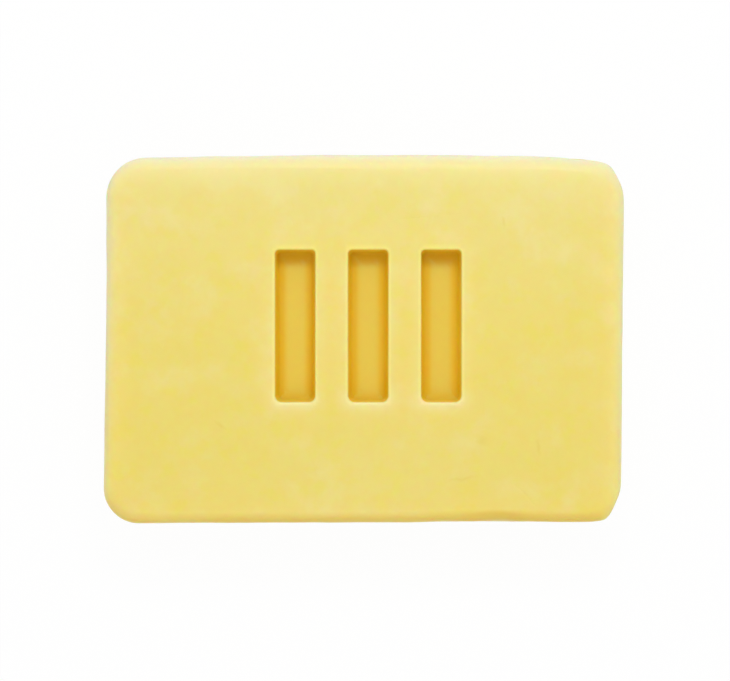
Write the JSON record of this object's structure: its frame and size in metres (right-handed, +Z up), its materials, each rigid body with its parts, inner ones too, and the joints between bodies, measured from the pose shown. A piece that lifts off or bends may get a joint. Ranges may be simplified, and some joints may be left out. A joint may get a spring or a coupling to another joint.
{
  "type": "massage bar",
  "caption": "Solid rectangular bar of butter and wax with rounded corners and a row of straight grooves sunk into its face",
  "frame": {"origin": "middle of the back, in the plane that the bar lies on", "axes": "+X along the length to the right, +Y across the width to the rear, +Z up, out of the moulded face"},
  "size_m": [0.0798, 0.0569, 0.02],
  "materials": {
    "butter": "set cocoa-butter and wax blend, opaque pale yellow, waxy satin, faintly clouded"
  },
  "bodies": {
    "root": {"massage_bar": "butter"}
  },
  "joints": []
}
